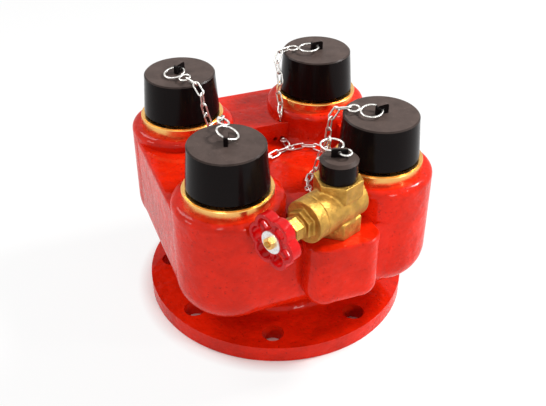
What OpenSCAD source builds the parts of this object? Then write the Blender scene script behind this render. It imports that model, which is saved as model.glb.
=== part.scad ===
// Four-way breeching inlet (fire department connection) with a 25 mm drain gate valve.
// Origin: axis of the outlet flange, on its underside. +Z up, the drain valve faces -Y.

/* [Flange] */
// Outside diameter of the outlet flange
flange_d = 285; // [280:1:310]
// Thickness of the outlet flange
flange_t = 18; // [16:0.5:22]
// Diameter of the bolt circle
bolt_circle_d = 240; // [232:1:246]
// Diameter of each bolt hole
bolt_hole_d = 23; // [18:0.5:24]
// Number of bolt holes
bolt_holes = 8; // [4:4:12]
// Bore of the outlet
outlet_d = 150; // [130:1:156]

/* [Body] */
// Distance between neighbouring inlet axes
inlet_spacing = 157; // [152:1:168]
// Outside diameter of each inlet post
post_d = 110; // [106:1:116]
// Underside of the body above the flange face
body_z = 55; // [48:1:58]
// Top of the pads that the inlet couplings stand on
pad_z = 180; // [176:1:196]
// Top of the webs between the posts, below the pads
web_drop = 11; // [8:1:16]
// Depth of the centre floor below the pads
floor_drop = 34; // [28:1:40]
// Wall of the casting
wall = 10; // [7:0.5:12]
// Rounding under the body
foot_round = 34; // [26:1:36]
// Rounding at the edge of each pad
pad_round = 7; // [3:0.5:9]
// Outside diameter of the neck above the flange
neck_d = 174; // [172:1:184]
// Fillet where the neck meets the flange
neck_fillet = 9; // [4:0.5:12]

/* [Inlet couplings] */
// Diameter of the brass shoulder ring
ring_d = 88.6; // [84:0.2:94]
// Height of the brass shoulder ring
ring_h = 10; // [8:0.5:12]
// Diameter of the threaded shank
shank_d = 76; // [70:0.5:79]
// Length of the threaded shank
shank_len = 17.5; // [14:0.5:20]
// Diameter of the nose
nose_d = 66.4; // [65:0.1:67.2]
// Diameter of the locking collar
collar_d = 72; // [70:0.1:72.6]
// Height of the nose above the pad
nose_h = 50; // [46:0.5:56]
// Bore through the coupling
inlet_bore_d = 57; // [54:0.5:59]

/* [Caps] */
// Diameter of a blank cap at its open end
cap_d = 80.8; // [79:0.2:86]
// Diameter of a blank cap at its top
cap_top_d = 74.6; // [73.5:0.2:78]
// Thickness of the top of a cap
cap_roof = 2.7; // [2:0.1:4]
// Gap between a cap's rim and the shoulder ring
cap_rim_gap = 2.2; // [1:0.1:4]
// Width of the eye lug on a cap
lug_w = 13; // [12:0.5:15]
// Height of the eye lug on a cap
lug_h = 10; // [8.5:0.5:13]
// Thickness of the eye lug
lug_t = 4; // [3:0.5:5]

/* [Check valves] */
// Travel of each check valve disc
check_travel = 10; // [6:0.5:10]
// Diameter of the check valve disc
check_d = 63; // [60:0.5:68]
// Diameter of the check valve spindle
spindle_d = 10; // [8:0.5:11]
// Wire diameter of the check valve spring
spring_wire = 1.6; // [1.2:0.1:1.7]
// Turns of the check valve spring
spring_turns = 5; // [4:1:5]

/* [Drain valve] */
// Drain valve axis, distance to the right of the centre
drain_x = 12; // [8:1:14]
// Drain valve axis, distance in front of the centre
drain_y = 127; // [126:1:130]
// Width of the boss under the drain valve
boss_w = 74; // [70:1:76]
// How far the boss reaches in front of the valve axis
boss_front = 34; // [34:1:42]
// Rise of the boss above the centre floor
boss_rise = 5; // [3:0.5:6]
// Size across the flats of the valve ends
valve_af = 41; // [40:0.5:44]
// Height of the gate valve body
valve_h = 57; // [55:0.5:62]
// Direction that the valve spindle points, from +X
spindle_turn = 204; // [203:1:206]
// Port diameter of the gate valve
port_d = 21; // [18:0.5:21.5]
// Travel of the gate from shut to open
gate_travel = 24.5; // [22:0.5:25]
// Diameter of the valve spindle
stem_d = 8; // [7:0.1:8.6]
// Diameter of the handwheel
wheel_d = 54.5; // [50:0.5:54.5]
// Thickness of the handwheel
wheel_t = 11; // [9:0.5:13]
// Number of handwheel lobes
wheel_lobes = 6; // [4:1:6]
// Outside diameter of the drain cap
drain_cap_d = 36; // [35.6:0.1:40]
// Height of the drain cap
drain_cap_h = 20.6; // [18:0.2:24]

/* [Chains and hooks] */
// Wire diameter of the chain links
link_wire = 1.8; // [1.6:0.1:1.9]
// Length of a chain link
link_len = 16.7; // [16.5:0.1:16.9]
// Width of a chain link
link_w = 7.8; // [7.6:0.1:8.4]
// Wire diameter of the cap hooks
hook_wire = 2.1; // [1.8:0.1:2.4]
// Diameter of the large loop of a cap hook
hook_d = 23; // [22:0.5:24]
// Diameter of the small loop of a cap hook
hook_eye_d = 13; // [12:0.5:13.5]

/* [Hidden] */
$fn = 96;
cut = 0.5;             // overshoot of a cutting tool
run_gap = 0.05;        // radial gap of turning and sliding fits
cap_gap = 0.35;        // radial gap between a cap and the coupling under it
seat_gap = 0.3;        // gap between a loose piece and its seat
seam = 0.05;           // gap between screwed or seated pieces

inlets = [[-1, 1], [-1, -1], [1, 1], [1, -1]];
half_pitch = inlet_spacing / 2;
post_r = post_d / 2;
web_out = half_pitch + post_r - 1;
web_z = pad_z - web_drop;
floor_z = pad_z - floor_drop;
cavity_z = body_z + wall;
floor_fillet = 8;
step_y = 48;
web_in = 82;
front_in = 60;        // inner side of the front wall

ring_top = pad_z + ring_h;
nose_z = pad_z + nose_h;
shank_z = pad_z - shank_len;
cap_z = ring_top + cap_rim_gap;
washer_t = 2.4;
cap_under = nose_z + seat_gap + washer_t;
cap_top = cap_under + cap_roof;
collar_z0 = 12;        // locking collar, above the shoulder ring
collar_z1 = 18;
cap_step = ring_top + collar_z1 + 3;
eye_d = hook_wire + 1.8;

seat_bore_d = inlet_bore_d - 5;
guide_z = shank_z + 9.5;
guide_h = 8;
guide_ring_h = 5;
seat_t = 3;
disc_t = 5;
check_nut_t = 4;
spring_r = spindle_d / 2 + 2.5;
spring_len = check_travel + (spring_turns + 1.2) * spring_wire;
nut_z = guide_z + guide_h + spring_len + 2 * seam;

boss_z = floor_z + boss_rise;
boss_foot_z = 78;
valve_top = boss_z + valve_h;
stem_z = boss_z + valve_h / 2;
thread_d = 33;
thread_len = 15;
gate_r = port_d / 2 + 4;
gate_half = 5;
gate_slope = 4;
gate_hub = gate_r + 2;
barrel_r = 21;
bonnet_s = 33;         // distances along the spindle, from the valve axis
spigot_s = bonnet_s - 7;
spigot_r = 18.9;
spigot_bore_r = 17;
bonnet_face_s = gate_r + gate_travel + 6;
hub_pocket_s = gate_hub + gate_travel + 3.3;
collar_s = hub_pocket_s + 2.2;
collar_len = 2.8;
stem_collar_r = 7;
bonnet_hex_af = 25;
bonnet_hex_len = 7;
bonnet_neck_r = 8.8;
packing_s = bonnet_face_s + bonnet_hex_len + 2;
packing_len = 6;
packing_r = 6.6;
gland_s = bonnet_face_s + bonnet_hex_len + 4;
gland_len = 11;
gland_af = 20;
wheel_s = gland_s + gland_len + 10;
plate_s = wheel_s + wheel_t - 1.4;
plate_t = 0.9;
wheel_nut_len = 3.6;
stem_end_s = plate_s + plate_t + wheel_nut_len + 1.2;
stem_tip_s = gate_hub - 4.7;
square_d = 6;
nipple_len = 27;
outlet_top = valve_top + 16.6;
drain_cap_z = valve_top + 0.4;
drain_cap_top = drain_cap_z + drain_cap_h;
drain_washer_t = 1.4;

link_play = 0.85;
link_pitch = link_len - 2 * link_wire - link_play;
hook_r = (hook_d - hook_wire) / 2;
hook_eye_r = (hook_eye_d - hook_wire) / 2;

// Colours
red = [0.78, 0.05, 0.03];
brass = [0.80, 0.60, 0.22];
black = [0.07, 0.06, 0.07];
rubber = [0.12, 0.12, 0.12];
steel = [0.78, 0.78, 0.76];

// Chain anchor: a wire with two eyes, passed through two drilled holes in the step
anchor_x = 26;
spare_x = 18;
anchor_back = 5.5;     // vertical hole, behind the face of the step
anchor_hole_d = 5.2;
anchor_well_d = 5.8;    // vertical hole
anchor_neck = 3.3;      // wire between the step and its rear eye
anchor_rise = 3.8;     // front holes, above the centre floor
anchor_eye_r = 3.2;
anchor_reach = 4.8;    // front eye, in front of the step
anchor_bend = 3;

// How the hook lies on each cap: direction of its large loop, of its small loop, its tilt and its roll
hook_turn = [225, 65, 190, 175];
hook_tail = [-68, 86, 160, 140];
hook_tilt = [-8, -1, -2, -5];
hook_roll = [5, 20, 2, -5];
lug_turn = [215, 67, 180, 187];
drain_hook_turn = -21;
drain_hook_tail = 110;
drain_lug_w = 15.4;
drain_lug_h = 8.9;
drain_lug_t = 2.6;

// Routes of the chains, as points that the links follow
route_1 = [[-77.55, 50.53, 239.83], [-72.54, 39.41, 238.75], [-68.69, 31.9, 229.88],
    [-67.43, 32.19, 217.69], [-65.07, 31.58, 205.69], [-61.9, 30.73, 193.89], [-57.11, 26.4, 183.47],
    [-50.95, 26.35, 172.89], [-53.2, 25.25, 160.9], [-49.65, 18.17, 151.55], [-42.3, 8.53, 149.81],
    [-27.4, 5.3, 149.9]];
route_2 = [[-71.94, -47.03, 243], [-70.42, -36.24, 237.4], [-69.35, -31.93, 225.98],
    [-67.77, -29.93, 214], [-65.56, -27.73, 202.15], [-63.16, -25.47, 190.36], [-58.78, -21.8, 179.52],
    [-58.13, -20.95, 167.32], [-57, -15.48, 156.41], [-48.21, -10.06, 149.84], [-36, -9.08, 149.9],
    [-25.05, 1.54, 149.82]];
route_3 = [[47.93, 84.29, 239.16], [36.13, 81.01, 239.13], [29.89, 76.2, 229.75], [31.48, 71.55, 218.52],
    [30.83, 65.83, 207.71], [29.18, 68.33, 195.83], [29.88, 62.93, 184.86], [24.11, 51.26, 176.92]];
route_4 = [[51.65, -63.9, 239.39], [40.75, -58.53, 237.83], [35.62, -55.55, 227.11],
    [34.27, -55.41, 214.93], [33.3, -54.99, 202.72], [31.06, -53.46, 190.78], [27.19, -50.32, 179.59],
    [23.75, -49.93, 167.83], [25.25, -46.54, 156.16], [33.69, -40.06, 150.1], [44.14, -28.99, 149.15]];
route_5 = [[13.21, -102.57, 234.45], [12.77, -99.42, 222.62], [12.39, -96.96, 210.62],
    [12.01, -95.03, 198.53], [11.63, -93.27, 186.42], [11.21, -91.01, 174.38], [10.48, -86.5, 163.02],
    [9.66, -76.97, 155.37], [10.91, -64.8, 154.86], [13.82, -53.71, 150.54], [19.18, -42.71, 149.92],
    [26.14, -32.63, 150.1], [39.51, -25.3, 150.1]];
route_6 = [[22.91, 24.09, 149.82], [11.03, 21.1, 149.81], [-0.19, 16.19, 149.8], [-11.26, 10.92, 149.8],
    [-24.98, 4.28, 149.8]];
route_7 = [[29, 24.06, 150.1], [41.25, 23.81, 150.1], [52.51, 18.99, 149.8], [58.52, 8.32, 149.8],
    [57.88, -3.92, 149.8], [52.42, -14.88, 149.83], [42.27, -26.26, 149.82]];
route_8 = [[26, 40.88, 149.84], [26, 25.62, 149.84]];
link_counts = [11, 11, 7, 10, 12, 4, 6, 1];
link_twists = [[-56.1, 83.6], [-53.7, -83.2], [-117.9, -86.9], [-12.8, 28.4], [-78.7, 7.9],
    [-25.2, -76.6], [0.4, -76.6], [-23.8, -20.0]];
link_sides = [[0.934, -0.358, 0], [0.934, -0.358, 0], [0.934, -0.358, 0], [0.934, -0.358, 0], [1, 0, 0],
    [0, 0, 1], [0, 0, 1], [0, 0, 1]];

// Loose rings that join the chains: centre and radius of the wire
tether_ring = [[[26, 25.3, 149.8], 4.2], [[-26.45, 3.56, 149.8], 5.5], [[41.18, -27.48, 149.8], 5.5]];

// ---------- helpers ----------

// Outline of a rounded post or wall: w out from its core and h high, the outer corners rounded
module wall_profile(w, h, foot, top) {
    intersection() {
        union() {
            translate([0, foot]) square([w, h - foot - top]);
            square([w - foot, foot + cut]);
            translate([0, h - top - cut]) square([w - top, top + cut]);
            translate([w - foot, foot]) circle(r = foot);
            translate([w - top, h - top]) circle(r = top);
        }
        square([w, h]);
    }
}

module hexagon(af, h) {
    cylinder(d = af / cos(30), h = h, $fn = 6);
}

module tube(r_out, r_in, h) {
    difference() {
        cylinder(r = r_out, h = h);
        translate([0, 0, -cut]) cylinder(r = r_in, h = h + 2 * cut);
    }
}

module wire_ring(r, wire) {
    rotate_extrude() translate([r, 0]) circle(d = wire);
}

module at_inlet(n) {
    translate([inlets[n - 1].x * half_pitch, inlets[n - 1].y * half_pitch, 0]) children();
}

module at_valve() {
    translate([drain_x, -drain_y, 0]) children();
}

// Local Z runs out along the valve spindle
module on_spindle(s = 0) {
    at_valve() translate([0, 0, stem_z]) rotate([0, 0, spindle_turn]) rotate([0, 90, 0])
        translate([0, 0, s]) children();
}

// ---------- casting ----------

module inlet_post() {
    translate([0, 0, body_z]) rotate_extrude()
        wall_profile(post_r, pad_z - body_z, foot_round, pad_round);
}

module side_wall(reach, out, h, foot) {
    rotate([90, 0, 0]) linear_extrude(inlet_spacing, center = true)
        translate([reach, 0]) wall_profile(out - reach, h, foot, 0.4 * pad_round);
}

module neck() {
    cylinder(d = neck_d, h = body_z + wall);
    translate([0, 0, flange_t]) rotate_extrude() difference() {
        square([neck_d / 2 + neck_fillet, neck_fillet]);
        translate([neck_d / 2 + neck_fillet, neck_fillet]) circle(r = neck_fillet);
    }
}

// Boss under the drain valve, rounded at its front corners and along its foot
module drain_boss() {
    corner = 19;
    foot = 17;
    edge = 2.5;
    depth = drain_y + boss_front - front_in;
    h = boss_z - boss_foot_z;
    translate([drain_x, -drain_y - boss_front, boss_foot_z]) {
        for (side = [-1, 1]) translate([side * (boss_w / 2 - corner), corner, 0])
            rotate_extrude() wall_profile(corner, h, foot, edge);
        translate([0, corner, 0]) rotate([90, 0, -90]) linear_extrude(boss_w - 2 * corner, center = true)
            wall_profile(corner - 0.3, h, foot, edge);
        for (side = [0, 1]) mirror([side, 0, 0]) translate([0, depth, 0]) rotate([90, 0, 0])
            linear_extrude(depth - corner) wall_profile(boss_w / 2 - 0.3, h, foot, edge);
    }
}

module waterway() {
    inner_h = floor_z - wall - cavity_z;
    inner_foot = foot_round - wall;
    for (n = [1:4]) at_inlet(n) {
        translate([0, 0, cavity_z]) rotate_extrude()
            wall_profile(post_r - wall, shank_z - cavity_z, inner_foot, 3);
        translate([0, 0, shank_z - cut]) cylinder(d = shank_d + 2 * seam, h = pad_z - shank_z + 2 * cut);
    }
    for (turn = [0:90:270]) rotate([0, 0, turn]) translate([0, 0, cavity_z]) rotate([90, 0, 0])
        linear_extrude(inlet_spacing, center = true) wall_profile(web_out - wall, inner_h, inner_foot, 3);
    translate([0, 0, -cut]) cylinder(d = outlet_d, h = cavity_z + 2 * cut);
    at_valve() {
        translate([0, 0, boss_foot_z + 2 * wall]) cylinder(d = 24, h = boss_z - boss_foot_z - 2 * wall);
        translate([0, 0, boss_z - thread_len]) cylinder(d = thread_d + 2 * seam, h = thread_len + cut);
    }
}

module anchor_holes() {
    hole_z = floor_z + anchor_rise;
    for (x = [anchor_x, spare_x]) translate([x, step_y - cut, hole_z]) rotate([-90, 0, 0])
        cylinder(d = anchor_hole_d, h = anchor_back + cut + anchor_hole_d / 2 - 0.4);
    well_z = hole_z - anchor_hole_d / 2 - 0.2;
    translate([anchor_x, step_y + anchor_back, well_z])
        cylinder(d = anchor_well_d, h = web_z - well_z + cut);
}

// Fillets where the back posts meet the centre floor
module floor_fillets() {
    for (n = [1, 3]) intersection() {
        at_inlet(n) translate([0, 0, floor_z]) rotate_extrude() difference() {
            square([post_r + floor_fillet, floor_fillet]);
            translate([post_r + floor_fillet, floor_fillet]) circle(r = floor_fillet);
        }
        translate([-web_in, 0, floor_z]) cube([2 * web_in, step_y + cut, floor_fillet]);
    }
}

module casting() {
    color(red) difference() {
        union() {
            cylinder(d = flange_d, h = flange_t);
            neck();
            for (n = [1:4]) at_inlet(n) inlet_post();
            translate([-half_pitch, -half_pitch, body_z])
                cube([inlet_spacing, inlet_spacing, floor_z - body_z]);
            for (side = [0, 1]) mirror([side, 0, 0]) translate([0, 0, body_z])
                side_wall(web_in, web_out, web_z - body_z, foot_round);
            rotate([0, 0, 90]) translate([0, 0, body_z])
                side_wall(step_y, web_out, web_z - body_z, foot_round);
            rotate([0, 0, -90]) translate([0, 0, body_z])
                side_wall(front_in, web_out, floor_z - body_z, foot_round);
            floor_fillets();
            drain_boss();
        }
        waterway();
        anchor_holes();
        for (k = [0:bolt_holes - 1]) rotate([0, 0, (k + 0.5) * 360 / bolt_holes])
            translate([bolt_circle_d / 2, 0, -cut]) cylinder(d = bolt_hole_d, h = flange_t + 2 * cut);
    }
}

module chain_anchor() {
    hole_z = floor_z + anchor_rise;
    eye_z0 = web_z + anchor_eye_r + hook_wire / 2 + anchor_neck;
    front_y = step_y - anchor_reach;
    color(steel) translate([anchor_x, 0, 0]) {
        translate([0, step_y + anchor_back, eye_z0]) rotate([0, 90, 0]) wire_ring(anchor_eye_r, hook_wire);
        translate([0, step_y + anchor_back, hole_z + anchor_bend])
            cylinder(d = hook_wire, h = eye_z0 - anchor_eye_r - hole_z - anchor_bend);
        translate([0, step_y + anchor_back - anchor_bend, hole_z + anchor_bend]) rotate([0, 90, 0])
            rotate_extrude(angle = 90) translate([anchor_bend, 0]) circle(d = hook_wire);
        translate([0, front_y + anchor_eye_r, hole_z]) rotate([-90, 0, 0])
            cylinder(d = hook_wire, h = anchor_reach + anchor_back - anchor_bend - anchor_eye_r);
        translate([0, front_y, hole_z]) wire_ring(anchor_eye_r, hook_wire);
    }
}

// ---------- inlets ----------

module coupling(n) {
    r = collar_d / 2;
    neck_r = nose_d / 2 - 0.4;
    color(brass) at_inlet(n) translate([0, 0, pad_z]) rotate_extrude() difference() {
        polygon([
            [seat_bore_d / 2, -shank_len], [shank_d / 2, -shank_len], [shank_d / 2, 0], [ring_d / 2, 0],
            [ring_d / 2, ring_h - 1.6], [ring_d / 2 - 0.7, ring_h - 0.9], [ring_d / 2 - 1.8, ring_h - 0.9],
            [ring_d / 2 - 1.8, ring_h], [neck_r, ring_h], [neck_r, ring_h + collar_z0 - 2],
            [r, ring_h + collar_z0], [r, ring_h + collar_z1], [nose_d / 2, ring_h + collar_z1 + 2.5],
            [nose_d / 2, nose_h - 1.8], [nose_d / 2 - 1.8, nose_h], [inlet_bore_d / 2 + 1, nose_h],
            [inlet_bore_d / 2, nose_h - 1], [seat_bore_d / 2, nose_h - 1]
        ]);
        translate([0, guide_z - pad_z]) square([inlet_bore_d / 2, nose_h + pad_z - guide_z]);
    }
}

module valve_guide(n) {
    color(brass) at_inlet(n) translate([0, 0, guide_z]) difference() {
        union() {
            tube(inlet_bore_d / 2 - seam, inlet_bore_d / 2 - 2.4, guide_ring_h);
            cylinder(r = spindle_d / 2 + 4, h = guide_h);
            intersection() {
                cylinder(r = inlet_bore_d / 2 - 1, h = guide_ring_h);
                for (k = [0:2]) rotate([0, 0, 120 * k + 30]) translate([0, -2, 0])
                    cube([inlet_bore_d, 4, guide_ring_h]);
            }
        }
        translate([0, 0, -cut]) cylinder(r = spindle_d / 2 + run_gap, h = guide_h + 2 * cut);
    }
}

module check_valve(n) {
    color(brass) at_inlet(n) {
        translate([0, 0, shank_z - seat_gap - seat_t - disc_t]) rotate_extrude()
            polygon([[0, 0], [check_d / 2 - 8, 0], [check_d / 2, 2.4], [check_d / 2, disc_t], [0, disc_t]]);
        translate([0, 0, shank_z - seat_gap - seat_t - 1])
            cylinder(d = spindle_d, h = nut_z + check_nut_t + 2 - shank_z + seat_gap + seat_t + 1);
    }
}

module seat_rubber(n) {
    color(rubber) at_inlet(n) translate([0, 0, shank_z - seat_gap - seat_t])
        tube(check_d / 2 - 0.5, spindle_d / 2 + seam, seat_t);
}

module valve_spring(n) {
    sides = 6;
    steps = spring_turns * 14;
    z0 = guide_z + guide_h + seam + spring_wire / 2;
    rise = spring_len - spring_wire;
    rings = [for (k = [0:steps]) let (a = 360 * spring_turns * k / steps, z = z0 + rise * k / steps)
        [for (j = [0:sides - 1]) let (b = 360 * j / sides, r = spring_r + spring_wire / 2 * cos(b))
            [r * cos(a), r * sin(a), z + spring_wire / 2 * sin(b)]]];
    points = [for (ring = rings, p = ring) p];
    skin = [for (k = [0:steps - 1], j = [0:sides - 1])
        let (a = k * sides + j, b = k * sides + (j + 1) % sides) [a, b, b + sides, a + sides]];
    ends = [[for (j = [sides - 1:-1:0]) j], [for (j = [0:sides - 1]) steps * sides + j]];
    color(steel) at_inlet(n) polyhedron(points, concat(skin, ends));
}

module spindle_nut(n) {
    color(brass) at_inlet(n) translate([0, 0, nut_z]) difference() {
        hexagon(2 * spring_r + 2, check_nut_t);
        translate([0, 0, -cut]) cylinder(r = spindle_d / 2 + seam, h = check_nut_t + 2 * cut);
    }
}

// Plate with an eye, standing on a cap
module eye_lug(w, h, t) {
    difference() {
        union() {
            translate([-w / 2, -t / 2, -0.5]) cube([w, t, h + 0.5 - 2.5]);
            translate([-w / 2 + 2.5, -t / 2, h - 3]) cube([w - 5, t, 3]);
            for (side = [-1, 1]) translate([side * (w / 2 - 2.5), t / 2, h - 2.5]) rotate([90, 0, 0])
                cylinder(r = 2.5, h = t);
        }
        translate([0, t, h / 2]) rotate([90, 0, 0]) cylinder(d = eye_d, h = 2 * t);
    }
}

module cap(n) {
    edge = 1.3;
    color(black) at_inlet(n) {
        difference() {
            rotate_extrude() polygon([
                [0, cap_z], [cap_d / 2 - 0.6, cap_z], [cap_d / 2, cap_z + 0.8],
                [cap_top_d / 2, cap_top - edge], [cap_top_d / 2 - edge, cap_top], [0, cap_top]
            ]);
            translate([0, 0, cap_z - cut]) cylinder(r = collar_d / 2 + cap_gap, h = cap_step - cap_z + cut);
            cylinder(r = nose_d / 2 + cap_gap, h = cap_under);
        }
        translate([0, 0, cap_top]) rotate([0, 0, lug_turn[n - 1]]) eye_lug(lug_w, lug_h, lug_t);
    }
}

module cap_washer(n) {
    color(rubber) at_inlet(n) translate([0, 0, nose_z + seat_gap])
        tube(nose_d / 2 + 0.2, inlet_bore_d / 2 - 3, washer_t);
}

// Figure-eight wire hook. Its first loop passes through an eye at the origin and lies towards turn.
module wire_hook(turn, tail, tilt, roll, r1, r2) {
    rotate([0, 0, turn]) rotate([0, -tilt, 0]) rotate([roll, 0, 0]) translate([r1, 0, 0]) {
        wire_ring(r1, hook_wire);
        rotate([0, 0, tail - turn]) translate([r1 + r2 + 0.85 * hook_wire, 0, 0.3]) wire_ring(r2, hook_wire);
    }
}

module cap_hook(n) {
    k = n - 1;
    color(steel) at_inlet(n) translate([0, 0, cap_top + lug_h / 2])
        wire_hook(hook_turn[k], hook_tail[k], hook_tilt[k], hook_roll[k], hook_r, hook_eye_r);
}

// ---------- chains ----------

module link() {
    half = (link_len - link_w) / 2;
    r = (link_w - link_wire) / 2;
    for (end = [0, 1]) mirror([0, 0, end]) translate([0, 0, half]) rotate([90, 0, 0])
        rotate_extrude(angle = 180) translate([r, 0]) circle(d = link_wire, $fn = 32);
    for (x = [-r, r]) translate([x, 0, -half]) cylinder(d = link_wire, h = 2 * half, $fn = 32);
}

function unit(v) = v / norm(v);

// The point on the line a-b, past a, that lies s away from p
function reach(a, b, p, s) = let (d = b - a, f = a - p, dd = d * d, fd = f * d)
    a + d * ((-fd + sqrt(fd * fd - dd * (f * f - s * s))) / dd);

// Joints between n links along a route, each a link's pitch from the last
function joints(route, n, p, i = 0) = n == 0 ? [p] :
    i + 2 < len(route) && norm(route[i + 1] - p) < link_pitch ? joints(route, n, p, i + 1) :
    concat([p], joints(route, n - 1, reach(route[i], route[i + 1], p, link_pitch), i));

// A direction across each link, carried from link to link without twisting
function across(points, x, k = 0) = k + 1 == len(points) ? [] :
    let (z = unit(points[k + 1] - points[k]), x1 = unit(x - (x * z) * z))
        concat([x1], across(points, x1, k + 1));

module chain(i) {
    routes = [route_1, route_2, route_3, route_4, route_5, route_6, route_7, route_8];
    n = link_counts[i - 1];
    twist = link_twists[i - 1];
    points = joints(routes[i - 1], n, routes[i - 1][0]);
    sides = across(points, link_sides[i - 1]);
    for (k = [0:n - 1]) {
        z = unit(points[k + 1] - points[k]);
        a = twist[0] + (twist[1] - twist[0]) * k / n + 90 * (k % 2);
        x = sides[k] * cos(a) + cross(z, sides[k]) * sin(a);
        y = cross(z, x);
        m = (points[k] + points[k + 1]) / 2;
        multmatrix([[x.x, y.x, z.x, m.x], [x.y, y.y, z.y, m.y], [x.z, y.z, z.z, m.z], [0, 0, 0, 1]]) link();
    }
}

module cap_chain(n) {
    color(steel) chain(n);
}

module drain_chain() {
    color(steel) chain(5);
}

module floor_chain() {
    color(steel) for (i = [6:8]) chain(i);
}

module tether_rings() {
    color(steel) for (ring = tether_ring) translate(ring[0]) wire_ring(ring[1], hook_wire);
}

// ---------- drain valve ----------

module drain_nipple() {
    color(brass) at_valve() translate([0, 0, boss_z - nipple_len / 2])
        tube(thread_d / 2, port_d / 2 + 1.5, nipple_len);
}

module valve_body() {
    seat_half = gate_half + seam;
    color(brass) difference() {
        union() {
            at_valve() for (z = [boss_z, valve_top - thread_len - 2]) translate([0, 0, z])
                rotate([0, 0, spindle_turn]) hexagon(valve_af, thread_len + 2);
            at_valve() translate([0, 0, boss_z + 5]) cylinder(r = valve_af / 2 - 0.6, h = valve_h - 10);
            on_spindle(-barrel_r) cylinder(r = barrel_r, h = bonnet_s + barrel_r);
        }
        at_valve() {
            translate([0, 0, boss_z - cut]) cylinder(d = port_d, h = valve_h + 2 * cut);
            translate([0, 0, boss_z - cut]) cylinder(d = thread_d + 2 * seam, h = thread_len + cut);
            translate([0, 0, valve_top - thread_len]) cylinder(d = thread_d + 2 * seam, h = thread_len + cut);
        }
        // Wedge-shaped seat pocket, and the round chamber that the gate draws back into
        on_spindle() rotate([90, 0, 0]) linear_extrude(2 * gate_r + 0.8, center = true) polygon([
            for (side = [-1, 1], s = side < 0 ? [-gate_r - 0.4, bonnet_s] : [bonnet_s, -gate_r - 0.4])
                [side * (seat_half + (s + gate_r) * tan(gate_slope)), s]
        ]);
        on_spindle(spigot_s - 1) cylinder(r = spigot_r + seam, h = bonnet_s - spigot_s + 1 + cut);
    }
}

module valve_bonnet() {
    color(brass) difference() {
        union() {
            on_spindle(bonnet_s + seam) cylinder(r = barrel_r, h = bonnet_face_s - bonnet_s - seam);
            on_spindle(spigot_s) cylinder(r = spigot_r, h = bonnet_s - spigot_s + 1);
            on_spindle(bonnet_face_s - 1) hexagon(bonnet_hex_af, bonnet_hex_len + 1);
            on_spindle(bonnet_face_s) cylinder(r = bonnet_neck_r, h = bonnet_hex_len + 2 + packing_len);
        }
        on_spindle(spigot_s - cut) cylinder(r = spigot_bore_r, h = gate_r + gate_travel + 2 - spigot_s + cut);
        on_spindle(spigot_s) cylinder(r = gate_half + 3.6, h = hub_pocket_s - spigot_s);
        on_spindle(spigot_s) cylinder(r = stem_collar_r + 0.3, h = collar_s + collar_len + 0.1 - spigot_s);
        on_spindle(spigot_s) cylinder(r = stem_d / 2 + run_gap, h = 60);
        on_spindle(packing_s) cylinder(r = packing_r, h = packing_len + 1);
    }
}

// Wedge gate, shut across the port
module valve_gate() {
    color(brass) difference() {
        union() {
            intersection() {
                on_spindle() rotate([90, 0, 0]) linear_extrude(2 * gate_r, center = true) polygon([
                    for (side = [-1, 1], s = side < 0 ? [-gate_r, gate_r] : [gate_r, -gate_r])
                        [side * (gate_half + (s + gate_r) * tan(gate_slope)), s]
                ]);
                at_valve() translate([0, 0, stem_z - 15]) cylinder(r = gate_r, h = 30);
            }
            on_spindle(gate_r - 6) cylinder(r = gate_half + 1.8, h = gate_hub - gate_r + 6);
        }
        on_spindle(stem_tip_s - gate_travel - 0.3) cylinder(r = stem_d / 2 + run_gap, h = 60);
    }
}

module valve_stem() {
    color(brass) {
        on_spindle(stem_tip_s) cylinder(d = stem_d, h = wheel_s - seam - stem_tip_s);
        on_spindle(collar_s) cylinder(r = stem_collar_r, h = collar_len);
        on_spindle(wheel_s - 1) cylinder(d = square_d, h = stem_end_s - wheel_s + 1);
    }
}

module stem_packing() {
    color([0.3, 0.3, 0.32]) on_spindle(packing_s + seam)
        tube(packing_r - seam, stem_d / 2 + run_gap, packing_len - 0.4);
}

module gland_nut() {
    color(brass) difference() {
        on_spindle(gland_s) union() {
            hexagon(gland_af, gland_len - 2);
            cylinder(r = gland_af / 2 - 1, h = gland_len);
        }
        on_spindle(gland_s - cut)
            cylinder(r = bonnet_neck_r + seam, h = packing_s + packing_len - gland_s + 0.6);
        on_spindle(gland_s) cylinder(r = stem_d / 2 + run_gap, h = gland_len + cut);
    }
}

// Lobed wheel: each lobe is a round eye, open between the hub and the rim
module handwheel() {
    hub_r = 12.3;
    lobe_r = 0.455 * wheel_d / 2;
    lobe_at = wheel_d / 2 - lobe_r;
    rim = 3.8;
    web = 5;
    phase = 27;
    color(red) difference() {
        union() {
            on_spindle(wheel_s) linear_extrude(wheel_t) difference() {
                union() {
                    circle(r = hub_r);
                    for (k = [0:wheel_lobes - 1]) rotate(360 * k / wheel_lobes + phase)
                        translate([lobe_at, 0]) circle(r = lobe_r);
                }
                for (k = [0:wheel_lobes - 1]) rotate(360 * k / wheel_lobes + phase)
                    translate([lobe_at, 0]) circle(r = lobe_r - rim);
            }
            on_spindle(wheel_s) cylinder(r = hub_r, h = plate_s - wheel_s - seam);
            on_spindle(wheel_s + 3) for (k = [0:wheel_lobes - 1])
                rotate(360 * (k + 0.5) / wheel_lobes + phase) translate([0, -web / 2, 0])
                    cube([lobe_at + 0.45 * lobe_r, web, 5]);
        }
        on_spindle(wheel_s - cut) cylinder(d = square_d + 2 * run_gap, h = wheel_t + 2 * cut);
        on_spindle(plate_s - seam) cylinder(r = hub_r - 0.6, h = wheel_t);
    }
}

module wheel_plate() {
    color([0.93, 0.93, 0.93]) on_spindle(plate_s) tube(11, square_d / 2 + run_gap, plate_t);
}

module wheel_nut() {
    color(brass) on_spindle(plate_s + plate_t + seam) difference() {
        hexagon(10, wheel_nut_len);
        translate([0, 0, -cut]) cylinder(d = square_d + 2 * run_gap, h = wheel_nut_len + 2 * cut);
    }
}

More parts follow.
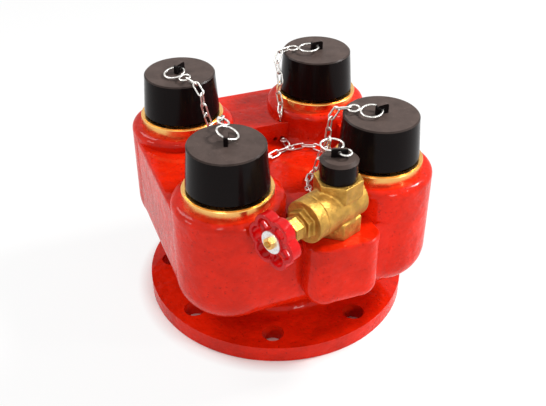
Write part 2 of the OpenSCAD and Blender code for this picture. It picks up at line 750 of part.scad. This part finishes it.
module drain_outlet() {
    color(brass) at_valve() translate([0, 0, valve_top - thread_len + seam])
        tube(thread_d / 2, port_d / 2 + 1.5, outlet_top - valve_top + thread_len - seam);
}

module drain_cap() {
    bevel = 2.6;
    color(black) at_valve() {
        difference() {
            rotate_extrude() polygon([
                [0, drain_cap_z], [drain_cap_d / 2, drain_cap_z], [drain_cap_d / 2, drain_cap_top - bevel],
                [drain_cap_d / 2 - 1.2 * bevel, drain_cap_top], [0, drain_cap_top]
            ]);
            translate([0, 0, drain_cap_z - cut]) cylinder(r = thread_d / 2 + cap_gap,
                h = outlet_top + seat_gap + drain_washer_t - drain_cap_z + cut);
        }
        translate([0, 0, drain_cap_top]) rotate([0, 0, drain_hook_turn])
            eye_lug(drain_lug_w, drain_lug_h, drain_lug_t);
    }
}

module drain_washer() {
    color(rubber) at_valve() translate([0, 0, outlet_top + seat_gap])
        tube(thread_d / 2 + 0.2, port_d / 2 - 2, drain_washer_t);
}

module drain_hook() {
    color(steel) at_valve() translate([0, 0, drain_cap_top + drain_lug_h / 2])
        wire_hook(drain_hook_turn, drain_hook_tail, 0, 0, hook_eye_r, hook_r);
}

// ---------- parts ----------

casting();
chain_anchor();
for (n = [1:4]) {
    coupling(n);
    valve_guide(n);
    check_valve(n);
    seat_rubber(n);
    valve_spring(n);
    spindle_nut(n);
    cap(n);
    cap_washer(n);
    cap_hook(n);
    cap_chain(n);
}
drain_nipple();
valve_body();
valve_bonnet();
valve_gate();
valve_stem();
stem_packing();
gland_nut();
handwheel();
wheel_plate();
wheel_nut();
drain_outlet();
drain_cap();
drain_washer();
drain_hook();
drain_chain();
floor_chain();
tether_rings();
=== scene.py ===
"""Dresses a four-way breeching inlet (fire department connection) with its paint, brass, rubber and wire."""

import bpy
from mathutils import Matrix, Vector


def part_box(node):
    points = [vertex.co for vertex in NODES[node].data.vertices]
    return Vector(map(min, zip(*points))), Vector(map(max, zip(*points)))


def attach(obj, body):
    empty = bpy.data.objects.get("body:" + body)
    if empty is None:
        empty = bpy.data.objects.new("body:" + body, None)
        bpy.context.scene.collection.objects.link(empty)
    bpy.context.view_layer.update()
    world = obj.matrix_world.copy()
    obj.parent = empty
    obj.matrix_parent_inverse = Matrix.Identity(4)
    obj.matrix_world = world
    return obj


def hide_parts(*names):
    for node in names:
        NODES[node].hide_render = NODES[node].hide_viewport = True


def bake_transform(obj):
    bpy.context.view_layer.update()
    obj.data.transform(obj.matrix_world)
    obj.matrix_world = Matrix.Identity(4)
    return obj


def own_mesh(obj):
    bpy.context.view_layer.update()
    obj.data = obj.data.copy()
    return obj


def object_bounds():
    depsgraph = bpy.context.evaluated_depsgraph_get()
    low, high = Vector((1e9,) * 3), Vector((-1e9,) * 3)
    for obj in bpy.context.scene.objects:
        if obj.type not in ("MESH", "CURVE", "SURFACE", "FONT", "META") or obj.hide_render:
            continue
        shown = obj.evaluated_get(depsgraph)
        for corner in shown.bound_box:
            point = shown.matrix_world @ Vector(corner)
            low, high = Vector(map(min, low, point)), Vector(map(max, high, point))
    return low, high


bl_info = {
    "name": "Breeching inlet looks",
    "version": (1, 0, 0),
    "blender": (4, 5, 0),
    "location": "View3D > Sidebar > Breeching inlet",
    "description": "Finishes for a four-way breeching inlet with a drain gate valve",
    "category": "Object",
}

import bpy
import bmesh
from bpy.props import FloatProperty, FloatVectorProperty, PointerProperty
from mathutils import Matrix, Vector

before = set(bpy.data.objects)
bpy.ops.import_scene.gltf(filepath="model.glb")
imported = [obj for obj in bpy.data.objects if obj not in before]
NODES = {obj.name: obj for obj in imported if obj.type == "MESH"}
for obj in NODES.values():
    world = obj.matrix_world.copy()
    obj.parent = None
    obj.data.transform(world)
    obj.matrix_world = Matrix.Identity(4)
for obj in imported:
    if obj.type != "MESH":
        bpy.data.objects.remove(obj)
CAD_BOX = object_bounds()
INLETS = range(1, 5)

# Colours of the pieces that are seen least
RUBBER = (0.02, 0.02, 0.02)
GRAPHITE = (0.03, 0.03, 0.03)
SPRING_WIRE = (0.5, 0.5, 0.5)

# Lathe marks: how fast their wave runs, in radians per metre
RING_MARKS = 9000.0  # one mark each 0.7 mm
CAP_MARKS = 4200.0   # one mark each 1.5 mm

# Cast edges: the cells of an even mesh, in metres, and how it is smoothed
VALVE_CELLS = {"valve_body": 0.0008, "valve_bonnet": 0.0007}
VALVE_PASSES = 2
WHEEL_PASSES = 3
SMOOTHING = 0.5
WELD_DISTANCE = 1e-6

# Floor: in metres, and the fade to white as a share of the flange's radius
FLOOR_HALF_SIDE = 6.0
FLOOR_DROP = 0.0005
WHITE_FROM = 1.12

# Lamps: place, share of the main lamp's power, and width
LAMPS = {
    "key_lamp": ((1.0, -0.05, 1.15), 1.0, 0.30),
    "fill_lamp": ((0.25, -1.50, 0.6), 0.25, 0.35),
    "left_lamp": ((-1.3, 0.1, 0.5), 0.14, 0.35),
    "front_sparkle_lamp": ((-0.62, -0.75, 1.1), 0.10, 0.12),
    "right_sparkle_lamp": ((0.7, -0.75, 0.8), 0.12, 0.12),
    "back_lamp": ((-0.7, 0.8, 1.2), 0.4, 0.6),
}
LAMP_AIM = Vector((0, -0.01, 0.13))

# Camera: its place in metres, and the directions of its right side and its back
SENSOR_WIDTH = 36.0
CAMERA_PLACE = (-0.2675, -0.6900, 0.6153)
CAMERA_RIGHT = Vector((0.93386, -0.35762, 0.0))
CAMERA_BACK = Vector((-0.29325, -0.76575, 0.57238))


# ---------- materials ----------

class Finish:
    """A material's node tree, with short calls for the nodes that the finishes share."""

    def __init__(self, name):
        self.material = bpy.data.materials.new(name)
        self.material.use_nodes = True
        self.tree = self.material.node_tree
        self.shader = self.tree.nodes["Principled BSDF"]
        self.place = self.node("ShaderNodeTexCoord").outputs["Object"]

    def node(self, kind, **settings):
        made = self.tree.nodes.new(kind)
        for key, value in settings.items():
            setattr(made, key, value)
        return made

    def join(self, source, target):
        self.tree.links.new(source, target)

    def set(self, **values):
        for key, value in values.items():
            self.shader.inputs[key.replace("_", " ")].default_value = value

    def noise(self, scale, detail=3.0, roughness=0.5):
        made = self.node("ShaderNodeTexNoise")
        made.inputs["Scale"].default_value = scale
        made.inputs["Detail"].default_value = detail
        made.inputs["Roughness"].default_value = roughness
        self.join(self.place, made.inputs["Vector"])
        return made.outputs["Fac"]

    def cells(self, scale, smooth):
        made = self.node("ShaderNodeTexVoronoi", feature="SMOOTH_F1")
        made.inputs["Scale"].default_value = scale
        made.inputs["Smoothness"].default_value = smooth
        self.join(self.place, made.inputs["Vector"])
        return made.outputs["Distance"]

    def math(self, kind, a, b=0.0):
        made = self.node("ShaderNodeMath", operation=kind)
        for socket, value in zip(made.inputs, (a, b)):
            if isinstance(value, (int, float)):
                socket.default_value = value
            else:
                self.join(value, socket)
        return made.outputs[0]

    def span(self, value, low, high, to_low=0.0, to_high=1.0):
        """The value stretched so that low and high become to_low and to_high, and held between them."""
        made = self.node("ShaderNodeMapRange")
        self.join(value, made.inputs["Value"])
        for key, number in zip(("From Min", "From Max", "To Min", "To Max"), (low, high, to_low, to_high)):
            made.inputs[key].default_value = number
        return made.outputs["Result"]

    def blend(self, amount, a, b):
        """A mix of two colours, each a list of three numbers or another node's output."""
        made = self.node("ShaderNodeMix", data_type="RGBA")
        self.join(amount, made.inputs["Factor"])
        for key, value in (("A", a), ("B", b)):
            socket = next(s for s in made.inputs if s.name == key and s.type == "RGBA")
            if isinstance(value, list):
                socket.default_value = (*value, 1)
            else:
                self.join(value, socket)
        return next(s for s in made.outputs if s.type == "RGBA")

    def bump(self, height, distance, strength, under=None):
        """A surface raised by a height, over the one that lies under it."""
        made = self.node("ShaderNodeBump")
        made.inputs["Strength"].default_value = strength
        made.inputs["Distance"].default_value = distance
        self.join(height, made.inputs["Height"])
        if under:
            self.join(under, made.inputs["Normal"])
        return made.outputs["Normal"]

    def dress(self, color, roughness=None, normal=None):
        """The finished material, with these outputs joined to its shader."""
        for key, value in (("Base Color", color), ("Roughness", roughness), ("Normal", normal)):
            if value is not None:
                self.join(value, self.shader.inputs[key])
        return self.material


def shade(color, *shares):
    """A colour made darker or lighter, by one share for all three channels or by one each."""
    return [channel * share for channel, share in zip(color, shares if len(shares) == 3 else shares * 3)]


def lathe_marks(finish, speed):
    """Rings round the nearest inlet's axis, for tops and sides alike. The four inlets stand in a square."""
    low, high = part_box("coupling_3")
    axis = (low[0] + high[0]) / 2
    parts = finish.node("ShaderNodeSeparateXYZ")
    finish.join(finish.place, parts.inputs[0])
    squares = [
        finish.math("POWER", finish.math("SUBTRACT", finish.math("ABSOLUTE", parts.outputs[key]), axis), 2.0)
        for key in ("X", "Y")
    ]
    radius = finish.math("SQRT", finish.math("ADD", *squares))
    return finish.math("SINE", finish.math("MULTIPLY", finish.math("ADD", radius, parts.outputs["Z"]), speed))


def enamel_over_iron(name, color, coarse, gloss, gleam):
    """Thick enamel over a sand-cast surface: pebbles, pits and dimples under waves that catch the light, with the
    pits darkened by painted shade.
    """
    f = Finish(name)
    f.set(Coat_Weight=gleam, Coat_Roughness=0.05, Specular_IOR_Level=0.02)
    thickness = f.span(f.noise(scale=26, detail=4, roughness=0.6), low=0.35, high=0.65)
    tone = f.blend(thickness, list(color), shade(color, 0.72))
    pits = f.span(f.noise(scale=430, detail=2), low=0.66, high=0.74)
    # Painted shade: the pits are darkened to 0.62 of the paint's colour, standing for shade in them; the same mask
    # also sinks them in the bump below.
    tone = f.blend(pits, tone, shade(color, 0.62))
    pebbles = f.bump(f.noise(scale=240, detail=2, roughness=0.4), distance=0.0007, strength=coarse)
    sunk = f.bump(f.math("SUBTRACT", 1.0, pits), distance=0.0008, strength=coarse, under=pebbles)
    dimples = f.bump(f.cells(scale=110, smooth=0.9), distance=0.0026, strength=0.5 * coarse, under=sunk)
    waves = f.bump(f.noise(scale=45, detail=2), distance=0.0060, strength=0.5, under=dimples)
    rough = f.span(f.noise(scale=120), low=0.3, high=0.7, to_low=gloss, to_high=gloss + 0.18)
    return f.dress(tone, rough, waves)


def turned_brass(name, color, rough):
    """Machined brass: fine rings from the lathe, with a little tarnish."""
    f = Finish(name)
    f.set(Metallic=1.0)
    rings = lathe_marks(f, RING_MARKS)
    tarnish = f.span(f.noise(scale=30), low=0.45, high=0.75)
    tone = f.blend(tarnish, list(color), shade(color, 0.84, 0.74, 0.6))
    roughness = f.span(f.noise(scale=70, detail=2), low=0.3, high=0.7, to_low=rough, to_high=rough + 0.1)
    return f.dress(tone, roughness, f.bump(rings, distance=0.00001, strength=0.5))


def cast_brass(name, color, rough):
    """Brass as cast and tumbled: a soft sandy grain and dull hollows."""
    f = Finish(name)
    f.set(Metallic=1.0)
    hollows = f.span(f.noise(scale=90, detail=4, roughness=0.6), low=0.35, high=0.7)
    tone = f.blend(hollows, list(color), shade(color, 0.6))
    grain = f.bump(f.noise(scale=620, roughness=0.6), distance=0.0006, strength=0.9)
    body = f.bump(f.noise(scale=160), distance=0.0020, strength=0.6, under=grain)
    roughness = f.span(f.noise(scale=220), low=0.3, high=0.7, to_low=rough, to_high=rough + 0.2)
    return f.dress(tone, roughness, body)


def cap_lacquer(name, side, top):
    """Blackened caps: glossy turned sides and a satin, slightly dusty top. Surfaces that face up take the far lighter
    top colour, partly the cap's own brown-grey and partly painted light from above.
    """
    f = Finish(name)
    f.set(Specular_IOR_Level=0.07)
    normal = f.node("ShaderNodeNewGeometry").outputs["Normal"]
    parts = f.node("ShaderNodeSeparateXYZ")
    f.join(normal, parts.inputs[0])
    up = f.span(parts.outputs["Z"], low=0.55, high=0.85)
    dust = f.span(f.noise(scale=55, detail=6, roughness=0.7), low=0.35, high=0.7)
    dusty_top_and_painted_light = f.blend(dust, list(top), shade(top, 0.62))
    scuffs = f.span(f.noise(scale=700, detail=2), low=0.68, high=0.76)
    dusty_top_and_painted_light = f.blend(scuffs, dusty_top_and_painted_light, shade(top, 1.9))
    # Partly painted light: surfaces facing up take the top colour, many times lighter than the side, which stands
    # partly for light falling from above.
    tone = f.blend(up, list(side), dusty_top_and_painted_light)
    turned = f.bump(lathe_marks(f, CAP_MARKS), distance=0.00002, strength=0.5)
    grain = f.bump(f.noise(scale=1100), distance=0.00012, strength=0.5, under=turned)
    polish = f.span(f.noise(scale=60, detail=2), low=0.3, high=0.7, to_low=0.1, to_high=0.18)
    satin = f.math("MULTIPLY", up, 0.3)
    return f.dress(tone, f.math("ADD", polish, satin), grain)


def plated_wire(name, color, rough):
    """Bright plated wire with dull spots."""
    f = Finish(name)
    f.set(Metallic=1.0)
    spots = f.span(f.noise(scale=240, detail=4, roughness=0.6), low=0.45, high=0.75)
    tone = f.blend(spots, list(color), shade(color, 0.5))
    roughness = f.span(f.noise(scale=500), low=0.3, high=0.7, to_low=rough, to_high=rough + 0.2)
    return f.dress(tone, roughness, f.bump(f.noise(scale=1500, detail=2), distance=0.0001, strength=0.5))


def soft_black(name, color, rough):
    """Moulded rubber or graphited packing, with a fine matt grain."""
    f = Finish(name)
    tone = f.blend(f.noise(scale=300), list(color), shade(color, 1.8))
    roughness = f.span(f.noise(scale=400, detail=2), low=0.3, high=0.7, to_low=rough - 0.1, to_high=rough)
    return f.dress(tone, roughness, f.bump(f.noise(scale=1600), distance=0.0001, strength=0.6))


def pressed_plate(name, color):
    """Bare pressed aluminium, a little scuffed and dulled in patches."""
    f = Finish(name)
    f.set(Metallic=0.9)
    tone = f.blend(f.span(f.noise(scale=420), low=0.4, high=0.7), list(color), shade(color, 0.75))
    roughness = f.span(f.noise(scale=700, detail=2), low=0.3, high=0.7, to_low=0.25, to_high=0.42)
    return f.dress(tone, roughness, f.bump(f.noise(scale=900, detail=2), distance=0.0001, strength=0.5))


# ---------- mesh work ----------

def give(node, material):
    """Puts a finish on a CAD node."""
    dress_mesh(NODES[node].data, material)


def dress_mesh(mesh, material):
    """Makes a finish the only one on a mesh."""
    mesh.materials.clear()
    mesh.materials.append(material)


def duplicate(node, name):
    """A new piece with a CAD node's mesh of its own."""
    piece = bpy.data.objects.new(name, NODES[node].data.copy())
    bpy.context.scene.collection.objects.link(piece)
    return piece


def copied(node, name, material):
    """A copy of a CAD node, which takes its place."""
    piece = duplicate(node, name)
    dress_mesh(piece.data, material)
    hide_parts(node)
    return piece


def following_chain(node, name, material):
    """A copy of a chain, which takes the CAD node's place, with its placement baked into its mesh."""
    chain = copied(node, name, material)
    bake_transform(chain)


def closing_spring(n, material):
    """A copy of a check valve's spring, which takes the CAD node's place, rides on the inlet and has a mesh of its
    own.
    """
    node = f"valve_spring_{n}"
    spring = copied(node, f"coil_spring_{n}", material)
    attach(spring, "inlet")
    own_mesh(spring)


def rounded_casting(node, name, body, cell, passes, material):
    """A copy of a CAD node on an even mesh, smoothed to rounded cast edges, which takes the node's place."""
    piece = duplicate(node, name)
    welded = bmesh.new()
    welded.from_mesh(piece.data)
    bmesh.ops.remove_doubles(welded, verts=welded.verts, dist=WELD_DISTANCE)
    welded.to_mesh(piece.data)
    welded.free()
    even = piece.modifiers.new("even mesh", "REMESH")
    even.mode = "VOXEL"
    even.voxel_size = cell * 1.0
    soft = piece.modifiers.new("rounded edges", "SMOOTH")
    soft.factor = SMOOTHING
    soft.iterations = passes
    graph = bpy.context.evaluated_depsgraph_get()
    mesh = bpy.data.meshes.new_from_object(piece.evaluated_get(graph))
    piece.modifiers.clear()
    piece.data = mesh
    dress_mesh(mesh, material)
    mesh.polygons.foreach_set("use_smooth", [True] * len(mesh.polygons))
    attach(piece, body)
    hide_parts(node)


# ---------- stage ----------

def lay_floor(scene, s):
    """A pale floor, seen nearly white outside the flange, which still takes the object's shadow and colour."""
    low, high = CAD_BOX
    z = low[2] - FLOOR_DROP
    corners = [(x * FLOOR_HALF_SIDE, y * FLOOR_HALF_SIDE, z) for x, y in ((-1, -1), (1, -1), (1, 1), (-1, 1))]
    mesh = bpy.data.meshes.new("studio_floor")
    mesh.from_pydata(corners, [], [(0, 1, 2, 3)])
    floor = bpy.data.objects.new("studio_floor", mesh)
    scene.collection.objects.link(floor)
    f = Finish("studio_floor")
    f.set(Roughness=0.9, Specular_IOR_Level=0.1)
    tone = f.blend(f.noise(scale=3, detail=2), list(s.floor), shade(s.floor, 0.985))
    mesh.materials.append(f.dress(tone))
    ray = f.node("ShaderNodeLightPath")
    direct = f.math("MAXIMUM", ray.outputs["Is Camera Ray"], ray.outputs["Is Glossy Ray"])
    seen = f.math("MAXIMUM", direct, ray.outputs["Is Transmission Ray"])
    white = f.node("ShaderNodeEmission")
    mixed = f.node("ShaderNodeMixShader")
    away = f.node("ShaderNodeVectorMath", operation="LENGTH")
    f.join(f.place, away.inputs[0])
    flange_radius = high[0]
    clear = f.span(away.outputs["Value"], low=flange_radius, high=WHITE_FROM * flange_radius)
    f.join(f.math("MULTIPLY", f.math("MULTIPLY", seen, clear), s.lift), mixed.inputs[0])
    f.join(f.shader.outputs[0], mixed.inputs[1])
    f.join(white.outputs[0], mixed.inputs[2])
    f.join(mixed.outputs[0], f.tree.nodes["Material Output"].inputs["Surface"])


def hang_sky(scene, s):
    """An even sky, dim as a lamp and white where it is seen or mirrored."""
    world = bpy.data.worlds.new("studio_sky")
    scene.world = world
    world.use_nodes = True
    tree = world.node_tree
    background = tree.nodes["Background"]
    background.inputs["Color"].default_value = (1, 1, 1, 1)
    ray = tree.nodes.new("ShaderNodeLightPath")
    level = tree.nodes.new("ShaderNodeMapRange")
    level.inputs["To Min"].default_value = s.sky
    level.inputs["To Max"].default_value = 1.0
    seen = ray.outputs["Is Camera Ray"]
    for kind in ("Is Glossy Ray", "Is Transmission Ray"):
        either = tree.nodes.new("ShaderNodeMath")
        either.operation = "MAXIMUM"
        tree.links.new(seen, either.inputs[0])
        tree.links.new(ray.outputs[kind], either.inputs[1])
        seen = either.outputs[0]
    tree.links.new(seen, level.inputs["Value"])
    tree.links.new(level.outputs["Result"], background.inputs["Strength"])


def set_lamps(scene, s):
    """Small area lamps, which all point at the middle of the object."""
    for name, (place, share, size) in LAMPS.items():
        data = bpy.data.lights.new(name, "AREA")
        data.energy = share * s.key
        data.size = size
        lamp = bpy.data.objects.new(name, data)
        scene.collection.objects.link(lamp)
        lamp.location = place
        lamp.rotation_euler = (Vector(place) - LAMP_AIM).to_track_quat("Z", "Y").to_euler()


def set_camera(scene, s):
    """The camera, at its place and turned by its own three directions."""
    data = bpy.data.cameras.new("camera")
    data.lens = s.lens
    data.sensor_width = SENSOR_WIDTH
    camera = bpy.data.objects.new("camera", data)
    scene.collection.objects.link(camera)
    up = CAMERA_BACK.cross(CAMERA_RIGHT)
    turned = Matrix((CAMERA_RIGHT, up, CAMERA_BACK)).transposed().to_4x4()
    camera.matrix_world = Matrix.Translation(CAMERA_PLACE) @ turned
    scene.camera = camera


# ---------- settings ----------

class BreechingCastingSettings(bpy.types.PropertyGroup):
    """Finish of the flanged casting"""
    paint: FloatVectorProperty(name="Paint", description="Colour of the enamel on the casting", subtype="COLOR",
                               size=3, min=0, max=1, default=(0.74, 0.016, 0.002))
    coarse: FloatProperty(name="Cast grain", description="How strongly the sand-cast surface shows", default=0.9,
                          min=0, max=2)


class BreechingMetalSettings(bpy.types.PropertyGroup):
    """Colours of the bare metals, and the travel of the check valves"""
    ring: FloatVectorProperty(name="Shoulder ring", description="Colour of the machined brass rings", subtype="COLOR",
                              size=3, min=0, max=1, default=(0.86, 0.50, 0.16))
    valve: FloatVectorProperty(name="Valve", description="Colour of the cast brass drain valve", subtype="COLOR",
                               size=3, min=0, max=1, default=(0.60, 0.34, 0.075))
    wire: FloatVectorProperty(name="Wire", description="Colour of the chains and hooks", subtype="COLOR",
                              size=3, min=0, max=1, default=(0.74, 0.72, 0.68))
    check_travel: FloatProperty(name="Check valve travel", description="How far a check valve's spring shortens",
                                default=0.010, min=0, max=0.02, unit="LENGTH")
    plate: FloatVectorProperty(name="Plate", description="Colour of the disc in the handwheel", subtype="COLOR",
                               size=3, min=0, max=1, default=(0.86, 0.86, 0.85))


class BreechingCapSettings(bpy.types.PropertyGroup):
    """Colours of the blank caps"""
    side: FloatVectorProperty(name="Side", description="Colour of the glossy side of a cap", subtype="COLOR",
                              size=3, min=0, max=1, default=(0.006, 0.004, 0.004))
    # The top colour is partly painted light from above: it is many times lighter than the side.
    top: FloatVectorProperty(name="Top", description="Colour of the satin top of a cap", subtype="COLOR",
                             size=3, min=0, max=1, default=(0.085, 0.060, 0.052))


class BreechingWheelSettings(bpy.types.PropertyGroup):
    """Finish and mesh of the handwheel"""
    paint: FloatVectorProperty(name="Paint", description="Colour of the enamel on the handwheel", subtype="COLOR",
                               size=3, min=0, max=1, default=(0.62, 0.003, 0.004))
    voxel: FloatProperty(name="Mesh size", description="Size of the handwheel's mesh cells", default=0.0006,
                         min=0.0003, max=0.003, unit="LENGTH")


class BreechingStageSettings(bpy.types.PropertyGroup):
    """Floor, light and lens"""
    floor: FloatVectorProperty(name="Floor", description="Colour of the floor", subtype="COLOR",
                               size=3, min=0, max=1, default=(0.93, 0.93, 0.92))
    key: FloatProperty(name="Key light", description="Power of the main lamp", default=22.0, min=0, max=200,
                       unit="POWER")
    lift: FloatProperty(name="Floor lift", description="How far the floor is lifted to white where it is seen",
                        default=0.85, min=0, max=1)
    sky: FloatProperty(name="Sky", description="Strength of the even light all round", default=0.26, min=0, max=2)
    lens: FloatProperty(name="Lens", description="Focal length of the camera in millimetres", default=54.01,
                        min=10, max=200)


# ---------- pieces ----------

class BREECHING_OT_casting(bpy.types.Operator):
    """Dress the flanged casting in red enamel over a sand-cast surface"""
    bl_idname = "breeching.casting"
    bl_label = "Casting"

    def execute(self, context):
        s = context.scene.breeching_casting
        give("casting", enamel_over_iron("red_enamel_on_iron", s.paint, coarse=s.coarse, gloss=0.2, gleam=0.3))
        return {"FINISHED"}


class BREECHING_OT_couplings(bpy.types.Operator):
    """Dress the inlet couplings, their guides, the check valves and their springs"""
    bl_idname = "breeching.couplings"
    bl_label = "Couplings"

    def execute(self, context):
        s = context.scene.breeching_metal
        brass = turned_brass("machined_ring_brass", s.ring, rough=0.2)
        rubber = soft_black("seat_rubber", RUBBER, rough=0.75)
        spring = plated_wire("spring_wire", SPRING_WIRE, rough=0.3)
        for n in INLETS:
            for name in ("coupling", "valve_guide", "check_valve", "spindle_nut"):
                give(f"{name}_{n}", brass)
            give(f"seat_rubber_{n}", rubber)
            closing_spring(n, spring)
        return {"FINISHED"}


class BREECHING_OT_caps(bpy.types.Operator):
    """Dress the blank caps and the drain cap, with their washers"""
    bl_idname = "breeching.caps"
    bl_label = "Blank caps"

    def execute(self, context):
        s = context.scene.breeching_caps
        lacquer = cap_lacquer("black_cap_lacquer", s.side, s.top)
        rubber = soft_black("cap_washer_rubber", RUBBER, rough=0.75)
        for n in INLETS:
            give(f"cap_{n}", lacquer)
            give(f"cap_washer_{n}", rubber)
        give("drain_cap", lacquer)
        give("drain_washer", rubber)
        return {"FINISHED"}


class BREECHING_OT_chains(bpy.types.Operator):
    """Dress the chains, hooks, rings and the anchor wire"""
    bl_idname = "breeching.chains"
    bl_label = "Chains and hooks"

    def execute(self, context):
        s = context.scene.breeching_metal
        wire = plated_wire("bright_hook_wire", s.wire, rough=0.2)
        zinc = plated_wire("zinc_chain_wire", s.wire, rough=0.26)
        for n in INLETS:
            give(f"cap_hook_{n}", wire)
            following_chain(f"cap_chain_{n}", f"linked_cap_chain_{n}", zinc)
        for name in ("drain_hook", "tether_rings", "chain_anchor"):
            give(name, wire)
        following_chain("drain_chain", "linked_drain_chain", zinc)
        give("floor_chain", zinc)
        return {"FINISHED"}


class BREECHING_OT_drain_valve(bpy.types.Operator):
    """Dress the brass gate valve of the drain"""
    bl_idname = "breeching.drain_valve"
    bl_label = "Drain valve"

    def execute(self, context):
        s = context.scene.breeching_metal
        cast = cast_brass("cast_valve_brass", s.valve, rough=0.38)
        turned = cast_brass("turned_valve_brass", s.valve, rough=0.24)
        for name, cell in VALVE_CELLS.items():
            rounded_casting(name, f"cast_{name}", "inlet", cell, VALVE_PASSES, cast)
        for name in ("drain_nipple", "valve_gate", "valve_stem", "gland_nut", "drain_outlet"):
            give(name, turned)
        give("stem_packing", soft_black("graphite_packing", GRAPHITE, rough=0.7))
        return {"FINISHED"}


class BREECHING_OT_handwheel(bpy.types.Operator):
    """Dress the lobed handwheel, its disc and its nut"""
    bl_idname = "breeching.handwheel"
    bl_label = "Handwheel"

    def execute(self, context):
        s = context.scene.breeching_wheel
        metal = context.scene.breeching_metal
        paint = enamel_over_iron("red_enamel_on_wheel", s.paint, coarse=0.12, gloss=0.12, gleam=0.45)
        rounded_casting("handwheel", "lobed_handwheel", "spindle", s.voxel, WHEEL_PASSES, paint)
        give("wheel_plate", pressed_plate("handwheel_disc", metal.plate))
        give("wheel_nut", turned_brass("wheel_nut_brass", metal.ring, rough=0.22))
        return {"FINISHED"}


class BREECHING_OT_stage(bpy.types.Operator):
    """Set the floor, the sky, the lamps and the camera"""
    bl_idname = "breeching.stage"
    bl_label = "Stage"

    def execute(self, context):
        scene = context.scene
        for make in (lay_floor, hang_sky, set_lamps, set_camera):
            make(scene, scene.breeching_stage)
        scene.view_settings.view_transform = "Standard"
        return {"FINISHED"}


class BREECHING_PT_panel(bpy.types.Panel):
    """Lists the pieces of the breeching inlet"""
    bl_idname = "BREECHING_PT_panel"
    bl_label = "Breeching inlet"
    bl_space_type = "VIEW_3D"
    bl_region_type = "UI"
    bl_category = "Breeching inlet"

    def draw(self, context):
        for step in STEPS:
            self.layout.operator(f"breeching.{step}")
        for key, group in SETTINGS.items():
            box = self.layout.box()
            for prop in group.__annotations__:
                box.prop(getattr(context.scene, key), prop)


SETTINGS = {
    "breeching_casting": BreechingCastingSettings,
    "breeching_metal": BreechingMetalSettings,
    "breeching_caps": BreechingCapSettings,
    "breeching_wheel": BreechingWheelSettings,
    "breeching_stage": BreechingStageSettings,
}
STEPS = ("stage", "casting", "couplings", "caps", "chains", "drain_valve", "handwheel")
CLASSES = (
    *SETTINGS.values(), BREECHING_OT_casting, BREECHING_OT_couplings, BREECHING_OT_caps, BREECHING_OT_chains,
    BREECHING_OT_drain_valve, BREECHING_OT_handwheel, BREECHING_OT_stage, BREECHING_PT_panel,
)


def register():
    for cls in CLASSES:
        bpy.utils.register_class(cls)
    for key, group in SETTINGS.items():
        setattr(bpy.types.Scene, key, PointerProperty(type=group))


def unregister():
    for key in SETTINGS:
        delattr(bpy.types.Scene, key)
    for cls in reversed(CLASSES):
        bpy.utils.unregister_class(cls)


def main():
    register()
    for step in STEPS:
        getattr(bpy.ops.breeching, step)()


if __name__ == "__main__":
    main()
